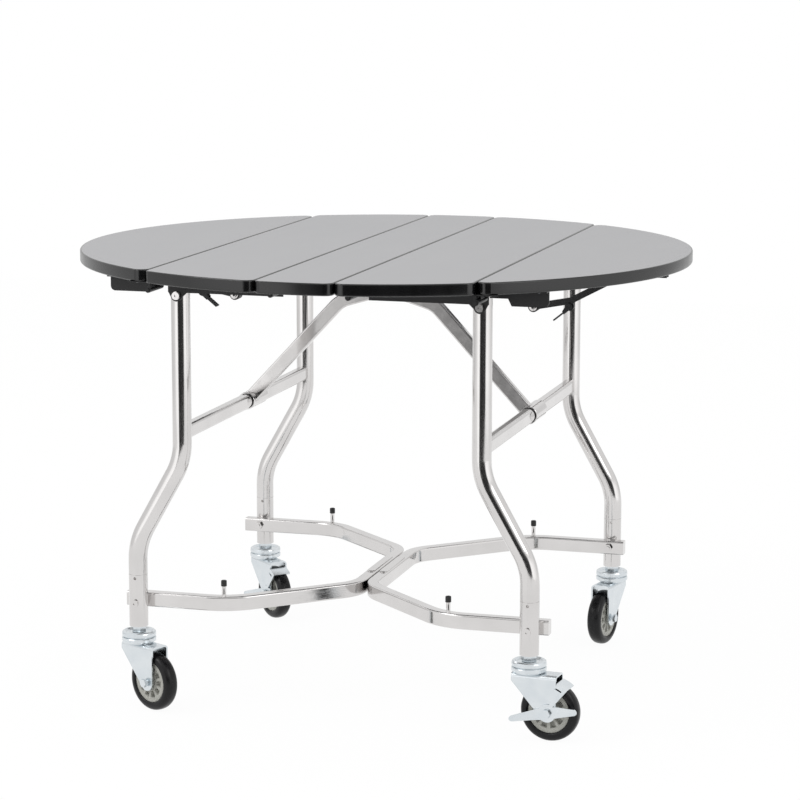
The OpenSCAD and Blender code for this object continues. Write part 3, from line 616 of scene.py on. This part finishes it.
# %% Braces, sleeves and bushes
along_y = ((1, 0, 0), (0, 0, 1), (0, 1, 0))
chamfer, bush_r, play, gap = 0.0006, journal_r + 0.002, 0.0001, 0.0003
sleeve = np.array([(bush_r + play, sleeve_back), (sleeve_r - chamfer, sleeve_back),
                   (sleeve_r, sleeve_back - chamfer), (sleeve_r, sleeve_front + chamfer),
                   (sleeve_r - chamfer, sleeve_front), (bush_r + play, sleeve_front)])
flange_r, flange = bush_r + 0.0006, 0.0017
bush = np.array([(journal_r + play, sleeve_back + flange), (flange_r, sleeve_back + flange),
                 (flange_r, sleeve_back + gap), (bush_r, sleeve_back + gap),
                 (bush_r, sleeve_front - gap), (flange_r, sleeve_front - gap),
                 (flange_r, sleeve_front - flange), (journal_r + play, sleeve_front - flange)])
for sign, side in ((-1, "left"), (1, "right")):
    body, node = f"brace_{side}_arm", f"brace_{side}"
    bar = surface(f"brace_bar_{side}", brace_grid(sign)[:, ::sign], wrap_v=True, caps=True, sharp=35)
    place_piece(bar, steel_brace, body, "chromed_steel", node)
    centre = (sign * bar_x, 0, bar_z)
    tube = surface(f"brace_sleeve_{side}", turned(sleeve, centre, *np.array(along_y)), True, True)
    place_piece(tube, steel_bars, body, "chromed_steel", node)
    bead = surface(f"brace_weld_{side}", bead_grid(sign)[:, ::sign], True, True, sharp=80)
    place_piece(bead, steel_bars, body, "chromed_steel", node)
    ring = surface(f"bush_{side}", turned(bush, centre, *np.array(along_y)), True, True, sharp=30)
    place_piece(ring, nylon, f"leg_{side}", "black_nylon", f"brace_bush_{side}")
    print({piece.name: len(piece.data.polygons) for piece in (bar, tube, bead, ring)})

# %% [markdown]
# ## Crossbars
# A crossbar is a flat-sided tube, 18 mm wide and 25 mm high with corners of 5 mm. Between its two
# lengths it has a round journal of 22 mm, on which the brace's bush turns, and a round collar of 25 mm at
# each end of it.

# %% Crossbars
bar_shape, _ = rounded(0.018, 0.025, 0.005)
y0, y1 = sleeve_front - flange - gap, sleeve_back + flange + gap
collar, collar_long, cone_r, cone_end = 0.0125, 0.006, 0.009, 0.016
journal = np.array([(cone_r, y1 + cone_end), (collar, y1 + collar_long), (collar, y1), (journal_r, y1),
                    (journal_r, y0), (collar, y0), (collar, y0 - collar_long), (cone_r, y0 - cone_end)])
for sign, side in ((-1, "left"), (1, "right")):
    lengths = [(-foot_y, y0 - collar_long), (y1 + collar_long, foot_y)]
    grid = np.array([[np.stack([sign * bar_x + bar_shape[:, 0], np.full(len(bar_shape), y),
                                bar_z + bar_shape[:, 1]], 1) for y in ends] for ends in lengths])
    piece = surface(f"crossbar_tube_{side}", grid, wrap_v=True, caps=True)
    place_piece(piece, steel_bars, f"leg_{side}", "chromed_steel", f"crossbar_{side}")
    core = np.transpose(turned(journal, (sign * bar_x, 0, bar_z), *np.array(along_y)), (1, 0, 2))
    piece = surface(f"journal_{side}", core[:, ::-1], wrap_v=True, caps=True)
    place_piece(piece, steel_bars, f"leg_{side}", "chromed_steel", f"crossbar_{side}")
print("crossbars made")

# %% [markdown]
# ## Small parts
# The pegs have moulded caps, the stays turn on bolts with a low round head, and the rails and hinges are
# held by pan-head screws. A head is a dome: r = R sin(a), height = H cos(a), with a round socket in its
# top.

# %% Caps, bolts and screws
def head(radius, height, socket):
    """Profile of a domed head with a socket, from the socket's floor over the dome to the seat."""
    a = np.linspace(math.asin(socket / radius), math.pi / 2, 9)
    dome = np.stack([radius * np.sin(a), height * np.cos(a)], 1)
    return np.concatenate([[(socket * 0.9, height * 0.3), (socket * 0.95, height * 0.9)], dome,
                           [(radius, -0.0002)]])


def heads(name, profile, spots, first, second, axis):
    """One mesh with a turned head at each spot."""
    frames = [turned(profile, spot, np.array(first), np.array(second), axis, 24) for spot in spots]
    return surface(name, np.transpose(frames, (0, 2, 1, 3))[:, :, ::-1], wrap_v=True, caps=True, sharp=50)


upward = ((0, 1, 0), (1, 0, 0), (0, 0, 1))
downward = ((1, 0, 0), (0, 1, 0), (0, 0, -1))
forward = ((0, 0, 1), (1, 0, 0), (0, -1, 0))
a = np.linspace(0.12, math.pi / 2, 8)
cap_r, cap_high, cap_round = 0.0049, 0.010, 0.0015
dome = np.stack([cap_r - cap_round + cap_round * np.sin(a), cap_high - cap_round + cap_round * np.cos(a)], 1)
cap = np.concatenate([[(0.001, cap_high)], dome, [(cap_r, 0.0)]])
bar_in = 0.0266
peg_x, peg_y, peg_z = 0.196, foot_y - bar_in, 0.2115
for sign, side in ((-1, "left"), (1, "right")):
    spots = [(sign * peg_x, end * peg_y, peg_z) for end in (-1, 1)]
    caps = heads(f"rubber_caps_{side}", cap, spots, *upward)
    place_piece(caps, cap_rubber, f"base_frame_{side}", "black_rubber", f"peg_caps_{side}")

under = top_z - board
ear_x, ear_z, ear_y, ear_half = 0.270, 0.669, -0.022, 0.0091
button = np.array([(0.002, 0.0012), (0.0022, 0.0032), (0.006, 0.0034), (0.0068, 0.0027),
                   (0.0068, -0.0002)])
screw = head(0.0036, 0.0016, 0.0011)
hinge_end, inner_share = 0.41, 0.415
hinge_ys = [k * hinge_end for k in (-1, -inner_share, inner_share, 1)]
rail_xs, rail_y, leaf_xs, leaf_y = (0.095, 0.150, 0.205), 0.3635, (0.320, 0.358), 0.3633
from_seam, apart, rail_down, hinge_down = 0.022, 0.019, 0.003, 0.002
for sign, side in ((-1, "left"), (1, "right")):
    front = heads(f"stay_bolt_front_{side}", button, [(sign * ear_x, ear_y - ear_half, ear_z)], *forward)
    place_piece(front, chrome, f"inner_{side}", "chromed_steel")
    back = heads(f"stay_bolt_back_{side}", button, [(sign * ear_x, ear_y + ear_half, ear_z)], *along_y)
    place_piece(back, chrome, f"inner_{side}", "chromed_steel")
    rail = [(sign * x, end * rail_y, under - rail_down) for x in rail_xs for end in (-1, 1)]
    leaf = [(sign * x, end * leaf_y, under - rail_down) for x in leaf_xs for end in (-1, 1)]
    place_piece(heads(f"rail_screws_{side}", screw, rail, *downward), zinc, f"inner_{side}", "chromed_steel")
    place_piece(heads(f"leaf_screws_{side}", screw, leaf, *downward), zinc, f"leaf_{side}", "chromed_steel")
    for body, xs in ((f"inner_{side}", (seams[0] + from_seam, seams[1] - from_seam)),
                     (f"leaf_{side}", (seams[1] + from_seam,)), ("centre", (seams[0] - from_seam,))):
        spots = [(sign * x, y + d, under - hinge_down) for x in xs for y in hinge_ys for d in (-apart, apart)]
        piece = heads(f"hinge_screws_{body}_{side}", screw, spots, *downward)
        place_piece(piece, zinc, body, "chromed_steel")
print("small parts made: caps, stay bolts and screws")

# %% [markdown]
# ## Base bars
# Each base bar is one tube, 20 by 25 mm with rounded corners, bent four times to half a hexagon. The
# outer bends have a radius of 100 mm and the inner ones of 70 mm. Each carries an oblong plate
# on its middle stretch, and two pegs.

# %% Base bars, plates and pegs
base_z, end_x, wide_x, mid_x, mid_y = 0.181, foot_x + 0.028, 0.186, 0.0112, 0.138
corners = [(end_x, -peg_y), (wide_x, -peg_y), (mid_x, -mid_y), (mid_x, mid_y), (wide_x, peg_y),
           (end_x, peg_y)]
bend_radii = (0.1, 0.07, 0.07, 0.1)
bends = [bent(corners[i], corners[i + 1], corners[i + 2], r, 20) for i, r in enumerate(bend_radii)]
base_path = np.concatenate([bends[0][0][:1]] + [b[0][1:-1] for b in bends] + [bends[-1][0][-1:]])
base_along = np.concatenate([bends[0][1][:1]] + [b[1][1:-1] for b in bends] + [bends[-1][1][-1:]])
base_across = np.stack([-base_along[:, 1], base_along[:, 0]], 1)
tube_shape, _ = rounded(0.020, 0.025, 0.003)
plate_r, plate_half, plate_t, plate_z = 0.007, 0.055, 0.002, base_z + 0.0125
ends = [arc(0, plate_half, plate_r, 0, math.pi, 16), arc(0, -plate_half, plate_r, math.pi, 2 * math.pi, 16)]
plate_ring, plate_out = (np.concatenate([e[k] for e in ends]) for k in (0, 1))
plate_edge = np.array([(0, plate_z - 0.0003), (0, plate_z + plate_t - 0.0005), (0.0005, plate_z + plate_t)])
peg = np.array([(0.0025, 0.0265), (0.0036, 0.0255), (0.0036, -0.0005)])
for sign, side in ((-1, "left"), (1, "right")):
    xy = base_path[:, None] + tube_shape[None, :, :1] * base_across[:, None]
    z = np.broadcast_to(base_z + tube_shape[None, :, 1], xy.shape[:2])
    grid = np.stack([sign * xy[..., 0], xy[..., 1], z], -1)
    piece = surface(f"base_tube_{side}", grid[:, ::-sign], wrap_v=True, caps=True, sharp=35)
    place_piece(piece, steel_base, f"base_frame_{side}", "chromed_steel", f"base_{side}")
    plate = np.transpose(swept(plate_ring, plate_out, plate_edge), (1, 0, 2)) + np.array([sign * mid_x, 0, 0])
    piece = surface(f"base_plate_{side}", plate[:, ::-1], wrap_v=True, caps=True)
    place_piece(piece, steel_base, f"base_frame_{side}", "chromed_steel", f"base_{side}")
    spots = [(sign * peg_x, end * peg_y, plate_z) for end in (-1, 1)]
    piece = heads(f"base_pegs_{side}", peg, spots, *upward)
    place_piece(piece, steel_bars, f"base_frame_{side}", "chromed_steel", f"base_{side}")
print("base bars:", len(base_path), "stations of", len(tube_shape), "points")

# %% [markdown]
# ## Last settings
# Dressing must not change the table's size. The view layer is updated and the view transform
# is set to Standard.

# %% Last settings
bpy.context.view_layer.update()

scene = bpy.context.scene
scene.view_settings.view_transform = "Standard"
